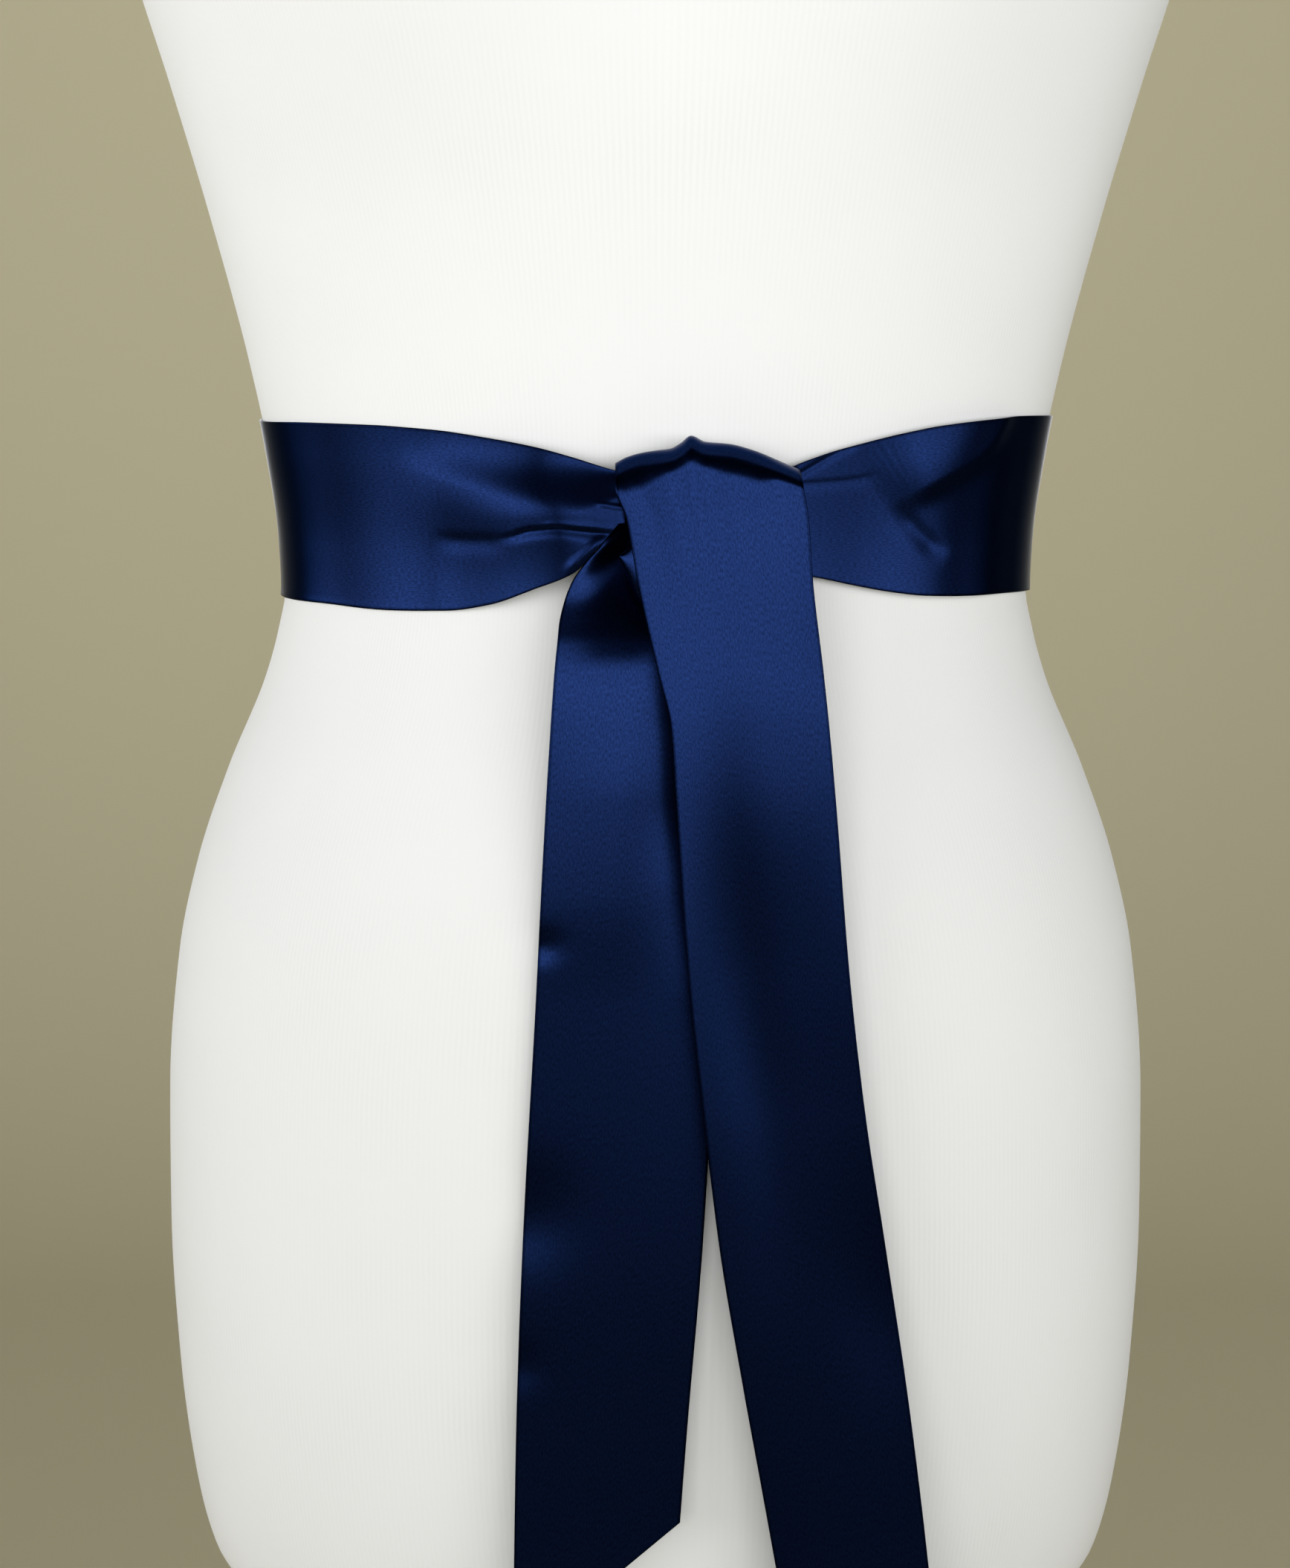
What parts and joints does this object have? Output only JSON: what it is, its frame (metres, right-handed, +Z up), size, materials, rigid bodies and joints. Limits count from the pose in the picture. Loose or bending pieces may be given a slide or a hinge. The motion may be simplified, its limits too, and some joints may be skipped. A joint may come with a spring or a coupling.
{
  "type": "satin sash on a dress form",
  "caption": "Navy satin ribbon sash tied in a half knot round the waist of a limbless jersey-covered dress form on a round-based counter stand, with two long hanging tails.",
  "frame": {"origin": "middle of the round base's underside, on the surface that the form stands on", "axes": "+Z up along the stand's pole; -Y is the wearer's front, where the knot and tails are; +X is to the right seen from the front"},
  "size_m": [0.3708, 0.33, 0.9873],
  "materials": {
    "jersey": "fine ribbed knit jersey, off-white, matte",
    "navy_satin": "double-faced satin ribbon, navy, soft sheen",
    "stand_metal": "brushed, satin"
  },
  "bodies": {
    "root": {"form_torso": "jersey", "form_neck_cap": "stand_metal", "form_collar": "stand_metal", "form_pole": "stand_metal", "form_socket": "stand_metal", "form_base": "stand_metal", "sash_waist_left": "navy_satin", "sash_waist_back": "navy_satin", "sash_waist_right": "navy_satin", "sash_knot_wrap": "navy_satin", "sash_front_tail": "navy_satin", "sash_rear_tail": "navy_satin"}
  },
  "joints": []
}
